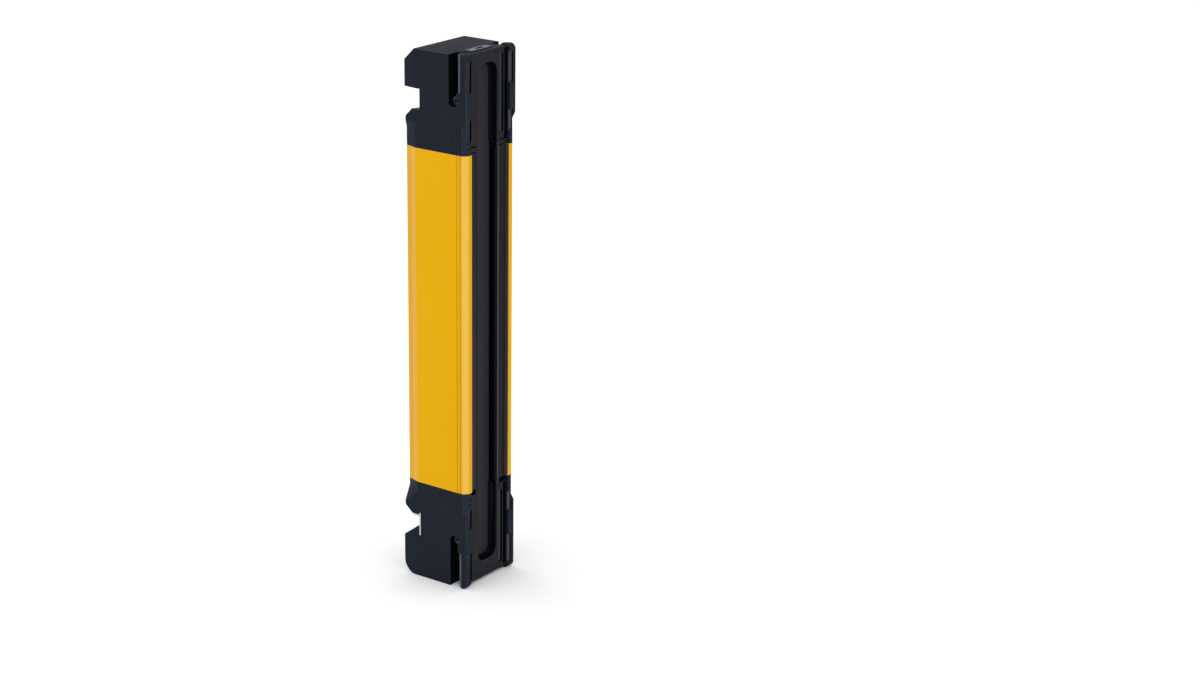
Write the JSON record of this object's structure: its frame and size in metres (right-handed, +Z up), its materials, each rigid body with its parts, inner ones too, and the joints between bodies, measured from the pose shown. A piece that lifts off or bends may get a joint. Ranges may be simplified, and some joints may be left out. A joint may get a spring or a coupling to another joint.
{
  "type": "safety light curtain receiver",
  "caption": "Slim safety light curtain bar: yellow extruded housing with black end caps, a recessed front window, a rear T-slot, rear notches and a short cable connector.",
  "frame": {"origin": "middle of the bar's foot, at the centre of its outline", "axes": "+Z up along the bar, -Y out of the window, +X to the right when looking at the window"},
  "size_m": [0.0344, 0.0348, 0.24],
  "materials": {
    "housing": "satin powder coat",
    "front_window": "polished infrared filter",
    "window_strip_left": "fine matt",
    "window_strip_right": "fine matt",
    "window_seal_left": "matt",
    "window_seal_right": "matt",
    "top_cap": "fine grained",
    "bottom_cap": "fine grained",
    "top_gasket": "matt",
    "bottom_gasket": "matt",
    "block_screws": "zinc plated",
    "slot_screws": "zinc plated",
    "jaw_screws": "bright",
    "earth_plate": "bright rolled",
    "connector_socket": "matt",
    "connector_ring": "knurled",
    "connector_insert": "matt",
    "contact_pins": "plated",
    "indicator_lens_top": "smoked, glossy",
    "indicator_lens_bottom": "smoked, glossy",
    "indicator_leds": "moulded",
    "lens_bar": "clear moulded",
    "aperture_strip": "matt film",
    "optics_carrier": "matt",
    "main_board": "solder mask",
    "photodiodes": "moulded",
    "board_chips": "moulded",
    "board_link": "moulded"
  },
  "bodies": {
    "root": {"housing": "housing", "front_window": "front_window", "window_strip_left": "window_strip_left", "window_strip_right": "window_strip_right", "window_seal_left": "window_seal_left", "window_seal_right": "window_seal_right", "top_cap": "top_cap", "bottom_cap": "bottom_cap", "top_gasket": "top_gasket", "bottom_gasket": "bottom_gasket", "block_screws": "block_screws", "slot_screws": "slot_screws", "jaw_screws": "jaw_screws", "earth_plate": "earth_plate", "connector_socket": "connector_socket", "connector_ring": "connector_ring", "connector_insert": "connector_insert", "contact_pins": "contact_pins", "indicator_lens_top": "indicator_lens_top", "indicator_lens_bottom": "indicator_lens_bottom", "indicator_leds": "indicator_leds", "lens_bar": "lens_bar", "aperture_strip": "aperture_strip", "optics_carrier": "optics_carrier", "main_board": "main_board", "photodiodes": "photodiodes", "board_chips": "board_chips", "board_link": "board_link"}
  },
  "joints": []
}
